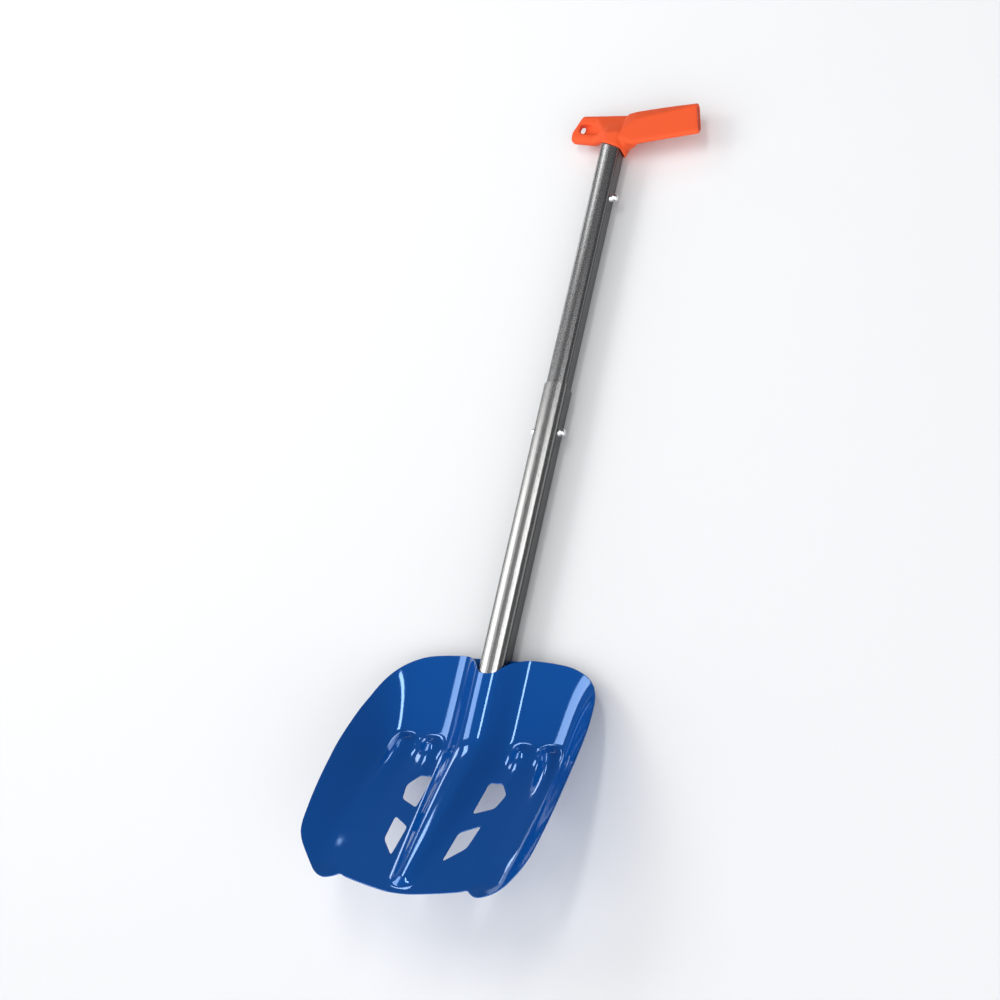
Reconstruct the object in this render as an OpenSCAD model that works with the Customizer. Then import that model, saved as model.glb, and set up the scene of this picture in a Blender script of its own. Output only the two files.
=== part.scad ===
// Avalanche shovel, lying on its back with the scoop facing up.
// X runs across the blade, Y runs along the shaft towards the grip, Z points up out of the scoop.

/* [Blade] */
// Greatest width of the blade
blade_w = 237; // [215:1:250]
// Length of the blade from its shoulders to its cutting edge
blade_len = 244; // [225:1:260]
// Thickness of the blade sheet
sheet_t = 2; // [1.5:0.1:2.5]
// Angle between the lower blade and the shaft
lift_angle = 30; // [24:1:34]
// Slope of the side rims over the length of the blade
rim_slope = 0.428; // [0.36:0.01:0.46]
// Height of the outer pressed ribs at the bend
bead_h = 9; // [4:0.5:10]

/* [Shaft] */
// Spacing of the two front corners of the shaft section
front_corners = 13; // [12:0.5:14]
// Outer radius of the front corners
front_r = 5.8; // [5:0.1:6.5]
// Outer radius of the slightly crowned front face
crown_r = 26; // [22:1:40]
// Outer radius of the narrow back corners
back_r = 7.5; // [7:0.1:8.5]
// Wall of both tubes
tube_wall = 1.2; // [1:0.1:1.3]
// Gap all round between the two tubes
tube_gap = 0.3; // [0.25:0.05:0.4]
// Where the outer tube ends above the blade
rim_y = 278; // [262:1:300]
// How far the lock buttons sit below that rim
lock_below_rim = 49; // [35:1:60]
// How far the inner tube pushes in
stroke = 266; // [240:1:268]

/* [Buttons] */
// Radius of a snap button
button_r = 3.6; // [3:0.1:4]
// How far a button stands out from the axis of the shaft
button_reach = 18.2; // [14.5:0.1:19]
// Gap between a button and its hole
button_gap = 0.3; // [0.2:0.05:0.5]

/* [Grip] */
// Length of the thick right wing
right_wing = 92; // [78:1:105]
// Length of the thin left wing with the eyelet
left_wing = 52; // [46:1:60]
// Height of the wings along the shaft
wing_h = 40; // [36:0.5:44]
// Angle by which each wing rises
wing_rise = 6.5; // [0:0.5:9]

/* [Hidden] */

// shaft section: corner centres, measured from the axis of the shaft
front_x = front_corners / 2;
tube_front = 12.3;
crown_z = tube_front - crown_r;
front_z = crown_z + sqrt(pow(crown_r - front_r, 2) - front_x * front_x);
back_x = 2;
back_z = -10.2;
tube_back = back_z - back_r;
inner_off = -tube_wall - tube_gap;

// directions square to the surface where the crown meets a front corner, and along the flat side
crown_a = acos(front_x / (crown_r - front_r));
side_a = let(d = [back_x - front_x, back_z - front_z], c = (front_r - back_r) / norm(d))
    atan2(d[1], d[0]) + acos(c);
side_x = front_x + front_z * tan(side_a) + front_r / cos(side_a);

// blade
sheet_gap = 0.8;
crest_z = tube_front + sheet_gap + sheet_t;
floor_z = -4;
bend_y = -94.7;
bend_soft = 8;
top_y = -3;
tip_y = top_y - blade_len;
half_w = blade_w / 2;

// socket behind the blade
channel_t = 2;
channel_y0 = -96;
channel_y1 = -4;
channel_gap = 0.3;
base_z = tube_back - channel_gap - channel_t;
flange_x = 46;
flange_z = floor_z - sheet_t;
tube_y0 = -88;
plug_t = 4;
stop_y = tube_y0 - plug_t - 0.2;
blade_button_y = -76;

// telescope
lock_y = rim_y - lock_below_rim;
stow_y = lock_y + stroke;
glide_t = 3;
inner_y0 = lock_y - 23;
grip_y = stow_y + 77;
inner_y1 = grip_y - 3.5;
collar_y = grip_y - 17.5;
rivet_y = grip_y - 9;

button_flange_t = 1;
// the side walls slant and the back wall is curved, so a button's foot sits a little inside them
button_seat = side_x + (inner_off - tube_wall) / cos(side_a) + (button_r + 1) * tan(side_a) - 0.1;
back_seat = -tube_back - tube_wall - 0.8;
spring_t = 0.8;
spring_w = 7;

// slant of the right wing's end face: how far it steps in along X for each millimetre up along Y
end_lean = 0.236;

// middle of the whole shovel along Y, and its lowest point
grip_top = right_c(right_wing - 5) + wing_h / 2;
mid_y = (tip_y + grip_top) / 2;

function sp(v, r) = v / r > 30 ? v : r * ln(1 + exp(v / r));
function ramp(v, a, b, r) = (sp(v - a, r) - sp(v - b, r)) / (b - a);
function step(v, a, b) = let(t = min(1, max(0, (v - a) / (b - a)))) t * t * (3 - 2 * t);

// height of the blade's front surface over the plane of the shaft axis
function floor_at(y) = floor_z + tan(lift_angle) * sp(bend_y - y, bend_soft);
function rim_at(y) = 21 + rim_slope * (-55 - y);
function crease_x(y) = half_w - 25.5 - 3 * step(-y, 110, 200);
function wall_at(x, y) = max(0, rim_at(y) - floor_at(y)) / (half_w - crease_x(y))
    * sp(abs(x) - crease_x(y), 7 - 3 * step(-y, 110, 200));
function rib_run(y) = min(1, max(0, (-100 - y) / 142));
function rib_at(x, y) = let(t = rib_run(y), a = 14 - 11 * t, b = 28.5 - 17.5 * t)
    ((crest_z - floor_z) * (1 - pow(t, 1.3)) + 3.5 * t - (1 - t) * min(4, x * x / (2 * (crown_r + 2.8))))
    * step(y, tip_y + 4, tip_y + 16)
    * max(0, 1 - (sp(abs(x) - a, 1.6) - sp(abs(x) - b, 4 - 2.4 * t)) / (b - a));
function bump(v, inner, outer) = exp(-pow(v / (v < 0 ? inner : outer), 2));
function bead_at(x, y) = let(d = max(0, -93 - y), run = max(0, -88 - y),
    outer = (0.15 + 0.85 * exp(-d / 32)) * (1 - step(-y, 190, 215))
        * bump(abs(x) - 85 + 11 * exp(-run / 45), 8 + 4 * step(-y, 95, 155), 8),
    inner = 0.6 * exp(-d / 22) * bump(abs(x) - 46, 8, 10))
    bead_h * step(-y, 80, 93) * (outer + inner);
function ear_at(x, y) = 2.5 * step(abs(x), 60, 76) * step(-y, 226, 242);
function front_at(x, y) = floor_at(y) + wall_at(x, y) + rib_at(x, y) + bead_at(x, y) + ear_at(x, y);
function back_at(x, y) = let(d = 0.5,
    gx = (front_at(x + d, y) - front_at(x - d, y)) / (2 * d),
    gy = (front_at(x, y + d) - front_at(x, y - d)) / (2 * d))
    front_at(x, y) - sheet_t * sqrt(1 + gx * gx + gy * gy);

// one half of the blade's outline, from the tube's notch round to the cutting edge
s = half_w / 118.5;
half_outline = [[0, -24], [8, -22], [14, -15], [20, -9], [31, -3.4], [48, top_y], [71, -5.5],
    [s * 85, -10], [s * 95, -16], [s * 103, -24.5], [s * 108.5, -35], [s * 111.5, -45], [s * 113.5, -55],
    [s * 116.2, -72], [s * 117.8, -92], [s * 118.5, -112], [s * 118.3, -132], [s * 117.6, -154],
    [s * 116, -176], [s * 113.4, tip_y + 50], [s * 109.2, tip_y + 38], [s * 102, tip_y + 27],
    [s * 93, tip_y + 16], [s * 86, tip_y + 9.8], [79, tip_y + 6.3], [73, tip_y + 5.6], [67, tip_y + 8],
    [62, tip_y + 11], [56, tip_y + 9], [43, tip_y + 6], [22, tip_y + 2], [8, tip_y + 0.2]];
upper_cut = [[29.5, -128.5], [32, -126], [40, -125.8], [43.5, -127.5], [48.8, -134.5], [49.8, -138],
    [47, -149.5], [45, -152.3], [33, -158.6], [30, -159], [28.6, -157]];
lower_cut = [[26, -184.5], [28.5, -180], [38.5, -173.3], [41.5, -172.6], [43, -175.5], [40.8, -192],
    [39, -197.5], [32, -206.5], [28, -209.5], [25.6, -208.8], [25.3, -206]];

cols = 52;
rows = 40;
function grid_x(i) = -half_w - 3 + (blade_w + 6) * i / cols;
function grid_y(j) = tip_y - 4 + (blade_len + 8) * j / rows;

module blade_sheet() {
    nx = cols + 1;
    n = nx * (rows + 1);
    front = [for (j = [0:rows], i = [0:cols]) [grid_x(i), grid_y(j), front_at(grid_x(i), grid_y(j))]];
    back = [for (j = [0:rows], i = [0:cols]) [grid_x(i), grid_y(j), back_at(grid_x(i), grid_y(j))]];
    top_faces = [for (j = [0:rows - 1], i = [0:cols - 1]) let(a = j * nx + i)
        each [[a, a + nx, a + 1], [a + 1, a + nx, a + nx + 1]]];
    bottom_faces = [for (f = top_faces) [n + f[0], n + f[2], n + f[1]]];
    edge = concat([for (i = [0:cols - 1]) [i, i + 1]],
        [for (j = [0:rows - 1]) [j * nx + cols, (j + 1) * nx + cols]],
        [for (i = [0:cols - 1]) [rows * nx + cols - i, rows * nx + cols - i - 1]],
        [for (j = [0:rows - 1]) [(rows - j) * nx, (rows - j - 1) * nx]]);
    sides = [for (e = edge) each [[e[0], e[1], n + e[0]], [e[1], n + e[1], n + e[0]]]];
    polyhedron(concat(front, back), concat(top_faces, bottom_faces, sides), convexity = 8);
}

module blade_outline() {
    difference() {
        polygon(concat(half_outline,
            [for (i = [len(half_outline) - 1:-1:1]) [-half_outline[i][0], half_outline[i][1]]]));
        for (m = [0, 1]) mirror([m, 0]) {
            polygon(upper_cut);
            polygon(lower_cut);
        }
    }
}

function arc(cx, cz, r, a0, a1) = let(n = ceil(abs(a1 - a0) / 5)) [for (i = [0:n])
    let(a = a0 + (a1 - a0) * i / n) [cx + r * cos(a), cz + r * sin(a)]];

// outline of the shaft, grown by off from the outer tube's surface
module section(off) {
    half = concat(arc(0, crown_z, crown_r + off, 90, crown_a),
                  arc(front_x, front_z, front_r + off, crown_a, side_a),
                  arc(back_x, back_z, back_r + off, side_a, -90));
    polygon(concat(half, [for (i = [len(half) - 1:-1:0]) [-half[i][0], half[i][1]]]));
}

// extrude a section drawn in X and Z from y0 to y1
module along(y0, y1) {
    translate([0, y1, 0]) rotate([90, 0, 0]) linear_extrude(y1 - y0) children();
}

module side_hole(y, r, x0, x1) {
    translate([x0, y, 0]) rotate([0, 90, 0]) cylinder(r = r, h = x1 - x0, $fn = 48);
}

module blade() color([0.06, 0.29, 0.59]) resize([blade_w, 0, 0]) intersection() {
    blade_sheet();
    translate([0, 0, -60]) linear_extrude(260) blade_outline();
}

module socket_channel() color([0.06, 0.29, 0.59]) {
    difference() {
        union() {
            along(channel_y0, channel_y1)
                polygon([[-13, base_z], [13, base_z], [16, flange_z], [-16, flange_z]]);
            translate([-flange_x, channel_y0, flange_z - channel_t])
                cube([2 * flange_x, channel_y1 - channel_y0, channel_t]);
        }
        along(channel_y0 - 1, channel_y1 + 1) section(channel_gap);
        translate([0, blade_button_y, base_z - 1])
            cylinder(r = button_r + button_gap, h = 6, $fn = 48);
    }
}

module socket_welds() color([0.06, 0.27, 0.55])
    for (m = [0, 1]) mirror([m, 0, 0])
        translate([flange_x, channel_y1 - 4, flange_z]) rotate([90, 0, 0]) linear_extrude(78)
            polygon([[0, 0], [2.2, 0], [0, -channel_t]]);

module socket_stop() color([0.25, 0.27, 0.3])
    along(channel_y0 + 0.5, stop_y) intersection() {
        section(channel_gap - 0.02);
        translate([-20, base_z]) square([40, flange_z - base_z]);
    }

module lower_shaft() color([0.78, 0.78, 0.78]) difference() {
    along(tube_y0, rim_y) difference() { section(0); section(-tube_wall); }
    side_hole(lock_y, button_r + button_gap, -side_x - 4, side_x + 4);
    translate([0, blade_button_y, tube_back - 2]) cylinder(r = button_r + button_gap, h = 5, $fn = 48);
}

module lower_end_plug() color([0.08, 0.08, 0.09]) {
    along(tube_y0 - plug_t, tube_y0) section(-0.2);
    along(tube_y0 - 0.01, tube_y0 + 3) section(-tube_wall - 0.05);
}

// one snap button along +X, standing reach from the shaft axis, its foot under a wall at seat
module button(seat, reach) {
    rotate([0, 90, 0]) rotate_extrude($fn = 64) polygon(concat(
        [[0, seat - button_flange_t], [button_r + 1, seat - button_flange_t], [button_r + 1, seat - 0.1],
         [button_r, seat - 0.1], [button_r, reach - 2.2]],
        [for (a = [15:15:90]) [button_r - 2.2 + 2.2 * cos(a), reach - 2.2 + 2.2 * sin(a)]],
        [[0, reach]]));
}

module blade_button() color([0.75, 0.75, 0.77])
    translate([0, blade_button_y, 0]) rotate([0, 90, 0])
        button(back_seat, -base_z - 0.2);

module blade_button_spring() color([0.55, 0.56, 0.58])
    leaf_spring(blade_button_y, back_seat - button_flange_t, 90, 8);

// a bent strip that holds one button: the leg under the button, a bend and a return leg
module leaf_spring(y, seat, turn, back_x) {
    translate([0, y, 0]) rotate([0, turn, 0]) {
        translate([seat - spring_t, -8, -spring_w / 2]) cube([spring_t, 14, spring_w]);
        translate([seat - spring_t - back_x, -8, -spring_w / 2]) cube([spring_t, 14, spring_w]);
        translate([seat - spring_t - back_x, 5.2, -spring_w / 2])
            cube([back_x + spring_t, spring_t, spring_w]);
    }
}

module upper_shaft() color([0.33, 0.34, 0.36]) difference() {
    along(inner_y0, inner_y1) difference() { section(inner_off); section(inner_off - tube_wall); }
    side_hole(lock_y, button_r + button_gap, -side_x - 4, side_x + 4);
    side_hole(stow_y, button_r + button_gap, 0, side_x + 4);
    glide_rivet_holes();
    translate([0, rivet_y, tube_back - 2]) cylinder(r = 2.4, h = 8, $fn = 48);
}

module glide_rivet_holes()
    for (z = [front_z, tube_back - 2]) translate([0, inner_y0 + 6, z]) cylinder(r = 1.6, h = 8, $fn = 32);

module shaft_glide() color([0.08, 0.08, 0.09]) difference() {
    union() {
        along(inner_y0 - glide_t, inner_y0) section(-tube_wall - tube_gap * 0.8);
        along(inner_y0 - 0.01, inner_y0 + 11) section(inner_off - tube_wall - 0.05);
    }
    along(inner_y0 - glide_t - 1, inner_y0 + 12) section(inner_off - tube_wall - 1.5);
    glide_rivet_holes();
}

module glide_rivets() color([0.6, 0.6, 0.62]) {
    translate([0, inner_y0 + 6, tube_front + inner_off - tube_wall - 2.4])
        cylinder(r = 1.6, h = tube_wall + 2.4, $fn = 32);
    translate([0, inner_y0 + 6, tube_back - inner_off])
        cylinder(r = 1.6, h = tube_wall + 2.4, $fn = 32);
}

module lock_button_right() color([0.8, 0.8, 0.82]) translate([0, lock_y, 0])
    button(button_seat, button_reach);

module lock_button_left() color([0.8, 0.8, 0.82]) translate([0, lock_y, 0]) mirror([1, 0, 0])
    button(button_seat, button_reach);

module lock_spring() color([0.55, 0.56, 0.58]) {
    leg = button_seat - button_flange_t;
    for (m = [0, 1]) mirror([m, 0, 0])
        translate([leg - spring_t, lock_y - 6, -spring_w / 2]) cube([spring_t, 34, spring_w]);
    translate([-leg, lock_y + 27.2, -spring_w / 2]) cube([2 * leg, spring_t, spring_w]);
}

module stow_button() color([0.8, 0.8, 0.82]) translate([0, stow_y, 0])
    button(button_seat, button_reach);

module stow_spring() color([0.55, 0.56, 0.58]) {
    leg = button_seat - button_flange_t;
    translate([leg - spring_t, stow_y - 6, -spring_w / 2]) cube([spring_t, 34, spring_w]);
    translate([-leg, stow_y - 6, -spring_w / 2]) cube([spring_t, 34, spring_w]);
    translate([-leg, stow_y + 27.2, -spring_w / 2]) cube([2 * leg, spring_t, spring_w]);
}

// middle line of the right wing
function right_c(x) = grip_y - 0.5 + x * tan(wing_rise);

module ball(x, y, z, r) translate([x, y, z]) sphere(r = r, $fn = 24);

// a station of the right wing: flat in front, round behind, its front top edge at top
function wing_rounds(top, h) = [[3 - h, 9, 3], [top, 9, 3], [h - 4, 4, 4], [-8, 6, 5.5], [8, 5.5, 5]];
module station(x, top, grow)
    for (b = wing_rounds(top, wing_h / 2 + grow)) ball(x, right_c(x) + b[0], b[1], b[2]);
module end_station()
    translate([right_wing, right_c(right_wing - 5), 0]) rotate([0, 0, atan(end_lean)])
        for (b = wing_rounds(13, wing_h / 2)) translate([-2, b[0], b[1]]) rotate([0, 90, 0])
            cylinder(r = b[2], h = 2, $fn = 24);

// the thin left wing, at its middle and round its end
module left_middle()
    for (z = [-3.6, -1.5], y = [0.5 + wing_h / 2, 15.2 - wing_h / 2]) ball(-24, grip_y + y, z, 4.4);
module left_end()
    for (z = [-3.6, -1.5], b = [[12.5, 1.4 + wing_h / 2], [5.4, 4.5], [5.8, 19 - wing_h / 2]])
        ball(b[0] - left_wing, grip_y + b[1], z, 4.4);
module collar()
    translate([0, collar_y, 0]) rotate([6.5, 0, -19]) along(0, 1) section(0.6);

module grip_body() {
    hull() { station(24, 7, 1.5); station(55, 9, 1); }
    hull() { station(55, 9, 1); end_station(); }
    hull() { left_middle(); left_end(); }
    hull() { left_middle(); ball(-5, grip_y - 6, 6, 5); ball(7, grip_y + 19, -1.5, 4.4); }
    hull() {
        collar();
        for (x = [-5, 6]) ball(x, grip_y - 6, 8, 5);
        for (y = [-4, 11], x = [-7, 7]) ball(x, grip_y + y, base_z + 5, 5);
        for (x = [-8, 9]) ball(x, grip_y + 18.5, -2, 4.5);
    }
    hull() {
        station(24, 7, 1.5);
        ball(11, grip_y - 9, 7, 5);
        ball(15, grip_y + 1, 7, 5);
        ball(14, grip_y + 19, 1.5, 4.5);
    }
    hull() {
        for (z = [-5, 5]) ball(11, collar_y + 3, z, 3.5);
        for (z = [2.4, 6.4]) ball(23, right_c(23) - wing_h / 2 + 5, z, 4);
        ball(14, grip_y - 2, 3, 5);
    }
}

// the eyelet slopes in from a wide front mouth to a straight slot near the wing's end
module slot_rounds(z, h)
    for (y = [9.9, 13.2]) translate([10.1 - left_wing, grip_y + y, z]) cylinder(r = 2.8, h = h, $fn = 32);
module eyelet() {
    hull() slot_rounds(base_z, -base_z - 4);
    hull() {
        slot_rounds(-5, 1);
        for (b = [[15.2, 4.3], [15.2, 9.7], [25.8, 9.2], [32, 1.6]])
            translate([b[0] - left_wing, grip_y + b[1], 3]) cylinder(r = 2.4, h = 7, $fn = 32);
    }
}

// closing plug of the hollow right wing, square to its slanted end
module end_plug_at(depth, l) translate([right_wing, right_c(right_wing - 5), 0])
    rotate([0, 0, atan(end_lean)]) translate([-depth, 0, 0]) rotate([0, 90, 0]) linear_extrude(l) hull()
        for (b = [[5.5 - wing_h / 2, 8.6, 1.4], [10, 8.6, 1.4], [wing_h / 2 - 6, 4.6, 2], [-8, 5.4, 3],
                  [8, 5, 2.6]])
            translate([-b[1], b[0]]) circle(r = b[2], $fn = 32);

module grip() color([0.93, 0.36, 0.18]) difference() {
    grip_body();
    along(collar_y - 20, inner_y1 + 0.2) section(inner_off + 0.05);
    eyelet();
    end_plug_at(4, 8);
    translate([0, rivet_y, base_z - 1]) cylinder(r = 4, h = 2.4, $fn = 48);
    translate([0, rivet_y, base_z]) cylinder(r = 2.4, h = 14, $fn = 48);
}

module grip_end_plug() color([0.85, 0.3, 0.14]) end_plug_at(4, 3);

module grip_rivet() color([0.6, 0.6, 0.62]) {
    translate([0, rivet_y, base_z + 0.4]) cylinder(r = 3.9, h = 1, $fn = 48);
    translate([0, rivet_y, base_z + 0.4])
        cylinder(r = 2.4, h = tube_back - inner_off + tube_wall - base_z + 0.6, $fn = 48);
}

// the whole shovel stands on its lowest faces, centred over the origin
translate([0, -mid_y, -base_z]) {
    blade();
    socket_channel();
    socket_welds();
    socket_stop();
    lower_shaft();
    lower_end_plug();
    blade_button();
    blade_button_spring();
    upper_shaft();
    shaft_glide();
    glide_rivets();
    lock_button_right();
    lock_button_left();
    lock_spring();
    stow_button();
    stow_spring();
    grip();
    grip_end_plug();
    grip_rivet();
}
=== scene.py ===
"""Avalanche shovel on a pale floor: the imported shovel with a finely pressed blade,
a smooth grip moulding and studio light."""
import math

import bmesh
import bpy
import numpy as np
from mathutils import Matrix, Vector
from mathutils.geometry import delaunay_2d_cdt


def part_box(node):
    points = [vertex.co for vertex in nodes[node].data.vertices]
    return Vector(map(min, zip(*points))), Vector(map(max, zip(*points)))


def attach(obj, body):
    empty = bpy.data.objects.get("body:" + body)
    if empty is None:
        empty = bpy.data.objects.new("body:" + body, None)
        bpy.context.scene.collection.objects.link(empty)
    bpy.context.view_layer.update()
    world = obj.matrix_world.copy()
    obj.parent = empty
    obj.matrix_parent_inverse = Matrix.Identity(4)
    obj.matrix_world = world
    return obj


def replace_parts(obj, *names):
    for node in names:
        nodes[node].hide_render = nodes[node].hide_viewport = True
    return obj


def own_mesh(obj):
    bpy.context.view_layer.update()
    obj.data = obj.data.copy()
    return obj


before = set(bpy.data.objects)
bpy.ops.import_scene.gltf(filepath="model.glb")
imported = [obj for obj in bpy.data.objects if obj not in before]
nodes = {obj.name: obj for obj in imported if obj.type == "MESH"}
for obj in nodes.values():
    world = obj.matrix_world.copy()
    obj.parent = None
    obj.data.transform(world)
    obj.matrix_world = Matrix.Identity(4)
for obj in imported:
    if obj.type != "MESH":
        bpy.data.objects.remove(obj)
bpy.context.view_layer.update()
MM = 0.001
TUBE_IN_SOCKET, AXIS_Z = 0.088, 0.020

# the blade's own origin is on the shaft axis, where the outer tube meets the blade
tube_lo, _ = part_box("lower_shaft")
SHAFT = Vector((0, tube_lo[1] + TUBE_IN_SOCKET, AXIS_Z))

# ---- blade shape, in millimetres from that origin ----
BLADE_W, BLADE_LEN, SHEET = 237.0, 244.0, 2.0
HALF_W, TOP_Y = BLADE_W / 2, -3.0
TIP_Y = TOP_Y - BLADE_LEN
# the floor of the scoop, level as far as the bend and rising from there to the tip
FLOOR_Z, BEND_Y, BEND_SOFT = -4.0, -94.7, 8.0
LIFT = math.tan(math.radians(30))
# the side walls: their rim's height at RIM_Y and its slope, and their width and crease softness,
# each with what it changes by from WALL_LOW[0] to WALL_LOW[1] below the origin
RIM_Z, RIM_Y, RIM_SLOPE = 21, -55, 0.428
WALL_W, WALL_WIDER, CREASE_SOFT, CREASE_SHARPER = 25.5, 3, 7, 3
WALL_LOW = (110, 200)
# the central rib: its crest and crown, and its top and foot half widths with what they lose to the tip
CREST_Z, CROWN_R, CROWN_DROP, RIB_END_H, RIB_FALL = 15.1, 28.8, 4, 3.5, 1.3
RIB_Y, RIB_RUN = -100, 142
RIB_TOP, RIB_TOP_LOSS, RIB_FOOT, RIB_FOOT_LOSS = 14, 11, 28.5, 17.5
SHOULDER_SOFT, FOOT_SOFT, FOOT_SHARPER = 1.6, 4, 2.4
# the beads that run down from the step: the long outer one and the short inner one
BEAD_H, OUTER_X, OUTER_DRIFT, INNER_X, INNER_SHARE = 9.0, 85, 11, 46, 0.6
BEAD_TAIL, EAR_H = 0.15, 2.5


def soft_plus(v, r):
    return r * np.logaddexp(0, v / r)


def step(v, a, b):
    t = np.clip((v - a) / (b - a), 0, 1)
    return t * t * (3 - 2 * t)


def bump(v, inner, outer):
    return np.exp(-(v / np.where(v < 0, inner, outer)) ** 2)


def side_wall(x, y, base):
    """Rises from a crease to a rim that climbs towards the tip."""
    low = step(-y, *WALL_LOW)
    crease = HALF_W - WALL_W - WALL_WIDER * low
    rise = np.maximum(0, RIM_Z + RIM_SLOPE * (RIM_Y - y) - base)
    return rise / (HALF_W - crease) * soft_plus(x - crease, CREASE_SOFT - CREASE_SHARPER * low)


def rib(x, y):
    """The central rib, crowned where it takes the tube, lower and narrower towards the tip."""
    t = np.clip((RIB_Y - y) / RIB_RUN, 0, 1)
    top, foot = RIB_TOP - RIB_TOP_LOSS * t, RIB_FOOT - RIB_FOOT_LOSS * t
    crown = (1 - t) * np.minimum(CROWN_DROP, x * x / (2 * CROWN_R))
    height = (CREST_Z - FLOOR_Z) * (1 - t ** RIB_FALL) + RIB_END_H * t - crown
    flank = soft_plus(x - top, SHOULDER_SOFT) - soft_plus(x - foot, FOOT_SOFT - FOOT_SHARPER * t)
    return height * step(y, TIP_Y + 4, TIP_Y + 16) * np.maximum(0, 1 - flank / (foot - top))


def beads(x, y):
    """Two beads that start at the step and fade out towards the tip."""
    d, run = np.maximum(0, -93 - y), np.maximum(0, -88 - y)
    fade = (BEAD_TAIL + (1 - BEAD_TAIL) * np.exp(-d / 32)) * (1 - step(-y, 190, 215))
    outer = fade * bump(x - OUTER_X + OUTER_DRIFT * np.exp(-run / 45), 8 + 4 * step(-y, 95, 155), 8)
    inner = INNER_SHARE * np.exp(-d / 22) * bump(x - INNER_X, 8, 10)
    return BEAD_H * step(-y, 80, 93) * (outer + inner)


def blade_front(x, y):
    """Height of the blade's front surface over the shaft axis."""
    x = np.abs(x)
    base = FLOOR_Z + LIFT * soft_plus(BEND_Y - y, BEND_SOFT)
    ear = EAR_H * step(x, 60, 76) * step(-y, 226, 242)
    return base + side_wall(x, y, base) + rib(x, y) + beads(x, y) + ear


def slopes(x, y, d):
    """Slope of the front surface along X and Y, taken over a distance d to each side."""
    gx = (blade_front(x + d, y) - blade_front(x - d, y)) / (2 * d)
    gy = (blade_front(x, y + d) - blade_front(x, y - d)) / (2 * d)
    return gx, gy


def blade_back(x, y):
    gx, gy = slopes(x, y, 0.25)
    return blade_front(x, y) - SHEET * np.sqrt(1 + gx * gx + gy * gy)


HALF_OUTLINE = [(0, -24), (8, -22), (14, -15), (20, -9), (31, -3.4), (48, TOP_Y), (71, -5.5),
    (85, -10), (95, -16), (103, -24.5), (108.5, -35), (111.5, -45), (113.5, -55),
    (116.2, -72), (117.8, -92), (118.5, -112), (118.3, -132), (117.6, -154),
    (116, -176), (113.4, TIP_Y + 50), (109.2, TIP_Y + 38), (102, TIP_Y + 27),
    (93, TIP_Y + 16), (86, TIP_Y + 9.8), (79, TIP_Y + 6.3), (73, TIP_Y + 5.6), (67, TIP_Y + 8),
    (62, TIP_Y + 11), (56, TIP_Y + 9), (43, TIP_Y + 6), (22, TIP_Y + 2), (8, TIP_Y + 0.2)]
UPPER_CUT = [(28.8, -126), (41.6, -125.6), (50.2, -137), (46.4, -152), (28.4, -160)]
LOWER_CUT = [(25.8, -181), (42.9, -171.4), (40.6, -195.5), (25.2, -211)]
CUT_ROUND, EDGE_ROLL = 3.4, 0.7


def rounded(corners, cut, spacing):
    """A closed polygon with its corners rounded off over the length cut."""
    p, out = np.array(corners, float), []
    for i in range(len(p)):
        here, before, after = p[i], p[i - 1], p[(i + 1) % len(p)]
        start = here + (before - here) / np.linalg.norm(before - here) * cut
        end = here + (after - here) / np.linalg.norm(after - here) * cut
        for t in np.linspace(0, 1, 6):
            out.append((1 - t) ** 2 * start + 2 * t * (1 - t) * here + t * t * end)
        stop = after + (here - after) / np.linalg.norm(here - after) * cut
        n = max(1, int(round(np.linalg.norm(stop - end) / spacing)))
        out += [end + (stop - end) * k / n for k in range(1, n)]
    return np.array(out)


def smooth_loop(points, spacing, tension=0.5):
    """A closed Catmull-Rom curve through the points, cut to about one spacing."""
    p = np.array(points, float)
    out = []
    for i in range(len(p)):
        a, b, c, d = p[i - 1], p[i], p[(i + 1) % len(p)], p[(i + 2) % len(p)]
        n = max(1, int(round(np.linalg.norm(c - b) / spacing)))
        for k in range(n):
            t = k / n
            m0, m1 = tension * (c - a), tension * (d - b)
            out.append((2 * t**3 - 3 * t**2 + 1) * b + (t**3 - 2 * t**2 + t) * m0
                       + (-2 * t**3 + 3 * t**2) * c + (t**3 - t**2) * m1)
    return np.array(out)


def inside(p, loop):
    x, y = p[:, 0:1], p[:, 1:2]
    x0, y0 = loop[:, 0], loop[:, 1]
    x1, y1 = np.roll(x0, -1), np.roll(y0, -1)
    with np.errstate(divide="ignore", invalid="ignore"):
        hit = ((y0 > y) != (y1 > y)) & (x < (x1 - x0) * (y - y0) / (y1 - y0) + x0)
    return hit.sum(axis=1) % 2 == 1


def clear_of(p, loop, gap):
    d = np.min(np.hypot(p[:, 0:1] - loop[:, 0], p[:, 1:2] - loop[:, 1]), axis=1)
    return d > gap


def mirrored(points):
    return [(-x, y) for x, y in reversed(points)]


def make_mesh(name, verts, faces, body, material):
    mesh = bpy.data.meshes.new(name)
    mesh.from_pydata([tuple(v) for v in verts], [], [tuple(int(i) for i in f) for f in faces])
    mesh.validate()
    mesh.polygons.foreach_set("use_smooth", [True] * len(mesh.polygons))
    obj = bpy.data.objects.new(name, mesh)
    bpy.context.collection.objects.link(obj)
    mesh.materials.append(material)
    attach(obj, body)
    return obj


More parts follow.
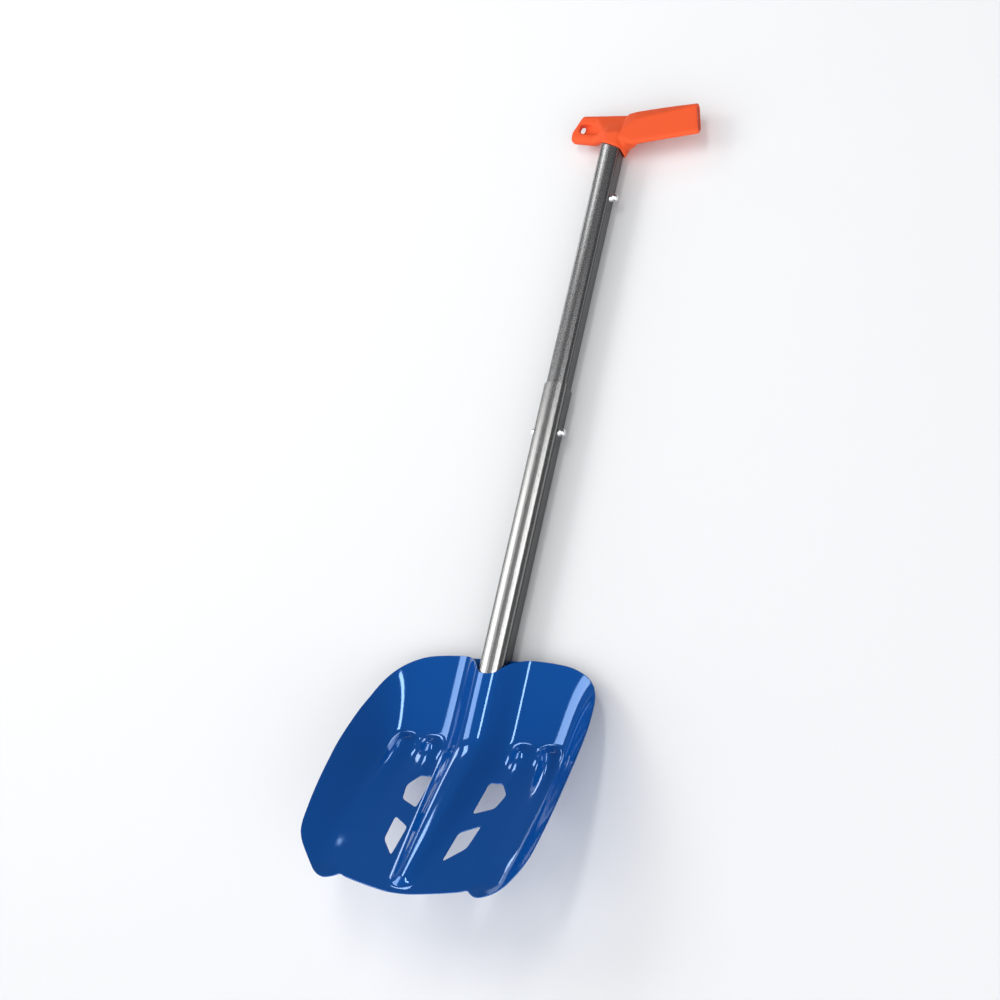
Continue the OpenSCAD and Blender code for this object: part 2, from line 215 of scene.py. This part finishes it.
def sheet_plan(spacing):
    """The blade seen from above, cut into triangles: its points and its upward triangles."""
    outline = smooth_loop(HALF_OUTLINE + [(-x, y) for x, y in reversed(HALF_OUTLINE[1:])], spacing)
    cuts = [rounded(c, CUT_ROUND, spacing * 0.8)
            for c in (UPPER_CUT, LOWER_CUT, mirrored(UPPER_CUT), mirrored(LOWER_CUT))]
    gx, gy = np.meshgrid(np.arange(-HALF_W, HALF_W + 1, spacing), np.arange(TIP_Y, TOP_Y + 1, spacing))
    grid = np.column_stack([gx.ravel(), gy.ravel()])
    keep = inside(grid, outline) & clear_of(grid, outline, spacing * 0.6)
    for c in cuts:
        keep &= ~inside(grid, c) & clear_of(grid, c, spacing * 0.5)
    points, edges = [], []
    for loop in [outline] + cuts:
        ring = list(range(len(points), len(points) + len(loop)))
        points += [Vector(p) for p in loop]
        edges += list(zip(ring, ring[1:] + ring[:1]))
    points += [Vector(p) for p in grid[keep]]
    flat, _, faces, _, _, _ = delaunay_2d_cdt(points, edges, [], 0, 1e-5)
    p = np.array([v[:] for v in flat])
    tri = np.array([f for f in faces if len(f) == 3])
    mid = p[tri].mean(axis=1)
    good = inside(mid, outline)
    for c in cuts:
        good &= ~inside(mid, c)
    tri = tri[good]
    area = np.cross(p[tri[:, 1]] - p[tri[:, 0]], p[tri[:, 2]] - p[tri[:, 0]])
    return p, np.where((area < 0)[:, None], tri[:, ::-1], tri)


def border_of(p, tri):
    """The edges that only one triangle has, and for each point on them a vector out of the sheet."""
    seen = {e: True for a, b, c in tri for e in ((a, b), (b, c), (c, a))}
    border = [(a, b) for a, b in seen if (b, a) not in seen]
    push = {}
    for a, b in border:
        d = p[b] - p[a]
        out = np.array([d[1], -d[0]]) / max(np.linalg.norm(d), 1e-9)
        for v in (a, b):
            push[v] = push.get(v, np.zeros(2)) + out
    return border, push


def build_blade(material, spacing=2.0):
    p, tri = sheet_plan(spacing)
    n = len(p)
    faces = list(tri) + list(tri[:, ::-1] + n)
    # the rolled edge: the border of both faces is drawn in, and a middle row stays on the outline
    border, push = border_of(p, tri)
    rim_at = np.array([p[v] for v in push])
    for v, d in push.items():
        p[v] = p[v] - d / max(np.linalg.norm(d), 1e-9) * EDGE_ROLL
    front = np.column_stack([p, blade_front(p[:, 0], p[:, 1])])
    back = np.column_stack([p, blade_back(p[:, 0], p[:, 1])])
    mid_id = {v: 2 * n + i for i, v in enumerate(push)}
    level = np.array([(front[v][2] + back[v][2]) / 2 for v in push])
    for a, b in border:
        faces += [(b, a, mid_id[a], mid_id[b]), (mid_id[b], mid_id[a], a + n, b + n)]
    verts = np.vstack([front, back, np.column_stack([rim_at, level])]) * MM + np.array(SHAFT)
    obj = make_mesh("pressed_blade", verts, faces, "blade", material)
    # the sheet's normals come from the pressed shape itself; the rolled edge faces outwards
    gx, gy = slopes(p[:, 0], p[:, 1], 0.2)
    face = np.column_stack([-gx, -gy, np.ones(n)])
    rim = [(*push[v], 0.0) for v in push]
    normals = np.vstack([face, -face, np.array(rim)])
    normals /= np.linalg.norm(normals, axis=1)[:, None]
    obj.data.normals_split_custom_set_from_vertices([tuple(row) for row in normals])
    return obj


# ---- materials ----
def principled(name, color, rough, metal=0.0, **more):
    mat = bpy.data.materials.new(name)
    mat.use_nodes = True
    bsdf = mat.node_tree.nodes["Principled BSDF"]
    bsdf.inputs["Base Color"].default_value = (*color, 1)
    bsdf.inputs["Roughness"].default_value = rough
    bsdf.inputs["Metallic"].default_value = metal
    for key, value in more.items():
        bsdf.inputs[key.replace("_", " ")].default_value = value
    return mat, mat.node_tree, bsdf


def grain(tree, bsdf, scale, stretch, strength, distance, base_rough, spread):
    """Fine surface grain: a noise that bumps the surface and varies its roughness,
    drawn out along Y by stretch."""
    coord = tree.nodes.new("ShaderNodeTexCoord")
    mapping = tree.nodes.new("ShaderNodeMapping")
    mapping.inputs["Scale"].default_value = (scale, scale / stretch, scale)
    noise = tree.nodes.new("ShaderNodeTexNoise")
    noise.inputs["Scale"].default_value = 1.0
    noise.inputs["Detail"].default_value = 4.0
    bump = tree.nodes.new("ShaderNodeBump")
    bump.inputs["Strength"].default_value = strength
    bump.inputs["Distance"].default_value = distance
    rough = tree.nodes.new("ShaderNodeMapRange")
    rough.inputs["To Min"].default_value = base_rough - spread
    rough.inputs["To Max"].default_value = base_rough + spread
    link = tree.links.new
    link(coord.outputs["Object"], mapping.inputs["Vector"])
    link(mapping.outputs["Vector"], noise.inputs["Vector"])
    link(noise.outputs["Fac"], bump.inputs["Height"])
    link(bump.outputs["Normal"], bsdf.inputs["Normal"])
    link(noise.outputs["Fac"], rough.inputs["Value"])
    link(rough.outputs["Result"], bsdf.inputs["Roughness"])


def painted_side_shade(tree, bsdf, dark, light):
    """Painted shade: the metal's base colour is dark on the side and back faces and light on the face that
    points up, standing in for the shade on the tube's sides.
    """
    # painted shade: object-space normal Z mixes the dark shade colour onto side and back faces
    coord, split = tree.nodes.new("ShaderNodeTexCoord"), tree.nodes.new("ShaderNodeSeparateXYZ")
    level, mix = tree.nodes.new("ShaderNodeMapRange"), tree.nodes.new("ShaderNodeMix")
    level.interpolation_type = "SMOOTHSTEP"
    level.inputs["From Min"].default_value = 0.1
    level.inputs["From Max"].default_value = 0.6
    mix.data_type = "RGBA"
    mix.inputs["A"].default_value = (*dark, 1)
    mix.inputs["B"].default_value = (*light, 1)
    tree.links.new(coord.outputs["Normal"], split.inputs["Vector"])
    tree.links.new(split.outputs["Z"], level.inputs["Value"])
    tree.links.new(level.outputs["Result"], mix.inputs["Factor"])
    tree.links.new(mix.outputs["Result"], bsdf.inputs["Base Color"])


def grained(name, color, rough, metal, scale, stretch, strength, distance, spread, side_shade=None, **more):
    """A material with surface grain and, where side_shade is given, that colour painted on its side and back
    faces as painted shade.
    """
    mat, tree, bsdf = principled(name, color, rough, metal, **more)
    grain(tree, bsdf, scale, stretch, strength, distance, rough, spread)
    if side_shade:
        painted_side_shade(tree, bsdf, side_shade, color)
    return mat


paint = grained("blue_paint", (0.002, 0.07, 0.31), 0.07, 0.0, 900, 1, 0.03, 0.0002, 0.02, IOR=2.1,
    Specular_Tint=(0.33, 0.58, 1.0, 1.0), Specular_IOR_Level=0.5, Coat_Weight=0.1, Coat_Roughness=0.04)
# both tube metals carry painted shade: their side and back faces get a near-black base colour for the shade
# there
outer = grained("brushed_aluminium_side_shade", (0.38, 0.38, 0.375), 0.27, 1.0, 1500, 0.7, 0.035, 0.0002, 0.08,
    side_shade=(0.045, 0.045, 0.045))
inner = grained("dark_aluminium_side_shade", (0.27, 0.27, 0.272), 0.27, 0.95, 1500, 1, 0.05, 0.0002, 0.08,
    side_shade=(0.045, 0.045, 0.046))
orange = grained("orange_plastic", (0.78, 0.094, 0.025), 0.55, 0.0, 3000, 1, 0.1, 0.0002, 0.05,
    Specular_IOR_Level=0.15)
# the grip's end plug is painted a darker orange: painted shade for its recessed end
plug_painted_shade = grained("orange_plug_painted_shade", (0.50, 0.045, 0.012), 0.55, 0.0, 3000, 1, 0.1, 0.0002, 0.05,
    Specular_IOR_Level=0.25)
black = grained("black_plastic", (0.02, 0.02, 0.022), 0.5, 0.0, 2000, 1, 0.1, 0.0002, 0.05)
spring = grained("spring_steel", (0.45, 0.45, 0.46), 0.3, 1.0, 2000, 8, 0.08, 0.0002, 0.05)
chrome = grained("button_chrome", (0.8, 0.8, 0.82), 0.1, 1.0, 1500, 1, 0.02, 0.0001, 0.03)

blade = build_blade(paint)
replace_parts(blade, "blade")


# ---- the other pieces: the CAD shapes with their curved faces shaded smooth ----
def copy_of(source, name):
    obj = source.copy()
    obj.data = source.data.copy()
    obj.name = name
    bpy.context.collection.objects.link(obj)
    obj.parent = None
    obj.matrix_world = source.matrix_world.copy()
    return obj


def smooth_copy(node, body, material):
    obj = copy_of(nodes[node], node + "_smooth")
    bm = bmesh.new()
    bm.from_mesh(obj.data)
    bmesh.ops.remove_doubles(bm, verts=bm.verts, dist=1e-6)
    bm.to_mesh(obj.data)
    bm.free()
    mesh = obj.data
    mesh.polygons.foreach_set("use_smooth", [True] * len(mesh.polygons))
    mesh.set_sharp_from_angle(angle=math.radians(28))
    mesh.materials.clear()
    mesh.materials.append(material)
    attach(obj, body)
    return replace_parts(obj, node)


PIECES = [
    ("socket_channel", "blade", "blade_paint", paint),
    ("socket_welds", "blade", "blade_paint", paint),
    ("socket_stop", "blade", "stop_plate", paint),
    ("lower_shaft", "lower_shaft", "outer_tube", outer),
    ("lower_end_plug", "lower_shaft", "black_plastic", black),
    ("blade_button_spring", "lower_shaft", "spring_steel", spring),
    ("blade_button", "blade_button", "button_steel", chrome),
    ("upper_shaft", "upper_shaft", "inner_tube", inner),
    ("shaft_glide", "upper_shaft", "black_plastic", black),
    ("glide_rivets", "upper_shaft", "button_steel", chrome),
    ("lock_spring", "upper_shaft", "spring_steel", spring),
    ("stow_spring", "upper_shaft", "spring_steel", spring),
    ("grip_end_plug", "upper_shaft", "grip_plastic", plug_painted_shade),
    ("grip_rivet", "upper_shaft", "button_steel", chrome),
    ("lock_button_right", "lock_button_right", "button_steel", chrome),
    ("lock_button_left", "lock_button_left", "button_steel", chrome),
    ("stow_button", "stow_button", "button_steel", chrome),
]
looks = {name: smooth_copy(name, body, look) for name, body, slot, look in PIECES}

# the two lock buttons each get a mesh of their own
for name, side in (("lock_button_right", 1), ("lock_button_left", -1)):
    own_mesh(looks[name])


# ---- grip: the CAD moulding with its corners softened ----
def soften(source, name, body, material, voxel, rounds):
    obj = copy_of(source, name)
    remesh = obj.modifiers.new("even", "REMESH")
    remesh.mode = "VOXEL"
    remesh.voxel_size = voxel
    smooth = obj.modifiers.new("soft", "SMOOTH")
    smooth.iterations = rounds
    bpy.context.view_layer.update()
    mesh = bpy.data.meshes.new_from_object(obj.evaluated_get(bpy.context.evaluated_depsgraph_get()))
    obj.modifiers.clear()
    obj.data = mesh
    mesh.materials.clear()
    mesh.materials.append(material)
    mesh.polygons.foreach_set("use_smooth", [True] * len(mesh.polygons))
    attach(obj, body)
    return obj


grip = soften(nodes["grip"], "grip_moulding", "upper_shaft", orange, 0.0008, 12)
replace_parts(grip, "grip")

# ---- floor, light and camera ----
bpy.ops.mesh.primitive_plane_add(size=8, location=(0, 0, 0))
ground = bpy.context.object
ground.name = "floor"
floor_mat, _, _ = principled("pale_floor", (0.8, 0.8, 0.8), 0.7)
ground.data.materials.append(floor_mat)

# a studio that is bright behind the camera and dim beyond the shovel, so that the gloss stays dark
world = bpy.data.worlds.new("studio")
bpy.context.scene.world = world
world.use_nodes = True
wt = world.node_tree
coord, split = wt.nodes.new("ShaderNodeTexCoord"), wt.nodes.new("ShaderNodeSeparateXYZ")
level = wt.nodes.new("ShaderNodeMapRange")
level.interpolation_type = "SMOOTHSTEP"
level.inputs["From Min"].default_value = -0.35
level.inputs["From Max"].default_value = 0.2
level.inputs["To Min"].default_value = 1.6
level.inputs["To Max"].default_value = 0.12
wt.links.new(coord.outputs["Generated"], split.inputs["Vector"])
wt.links.new(split.outputs["Y"], level.inputs["Value"])
wt.links.new(level.outputs["Result"], wt.nodes["Background"].inputs["Strength"])
wt.nodes["Background"].inputs["Color"].default_value = (0.95, 0.97, 1.0, 1)


def softbox(name, direction, distance, size, power):
    """An area light that faces LIT_AT from one direction; its second size lies nearest to Y."""
    light = bpy.data.lights.new(name, "AREA")
    light.shape = "RECTANGLE"
    light.size, light.size_y = size
    light.energy = power
    obj = bpy.data.objects.new(name, light)
    bpy.context.collection.objects.link(obj)
    back = Vector(direction).normalized()
    place = LIT_AT + back * distance
    side = Vector((0, 1, 0)).cross(back).normalized()
    obj.matrix_world = Matrix.Translation(place) @ Matrix((side, back.cross(side), back)).transposed().to_4x4()


LIT_AT = Vector((0, -0.2, 0))
softbox("wide_strip", (-0.70, 0.24, 0.64), 2.4, (0.9, 1.2), 14)
softbox("thin_strip", (0.02, 0.25, 0.96), 2.4, (0.28, 1.2), 10)
softbox("step_strip", (-0.46, 0.70, 0.54), 2.4, (0.5, 0.4), 4)
softbox("low_strip", (-0.76, 0.62, 0.15), 2.4, (0.5, 0.3), 2.5)
softbox("right_fill", (0.75, -0.60, 0.50), 2.6, (1.6, 1.6), 12)
bpy.context.scene.view_settings.view_transform = "Standard"

CAMERA_OFFSET = Vector((0.810, -0.518, 1.518))
camera = bpy.data.objects.new("camera", bpy.data.cameras.new("camera"))
bpy.context.collection.objects.link(camera)
bpy.context.scene.camera = camera
right, up = Vector((0.8909, 0.2129, -0.4013)), Vector((-0.0283, 0.9077, 0.4187))
back = right.cross(up).normalized()
up = back.cross(right).normalized()
camera.matrix_world = Matrix.Translation(SHAFT + CAMERA_OFFSET) @ Matrix(
    (right.normalized(), up, back)).transposed().to_4x4()
camera.data.sensor_width = 36
camera.data.lens = 69.7
camera.data.clip_start = 0.05
camera.data.clip_end = 50

bpy.context.view_layer.update()
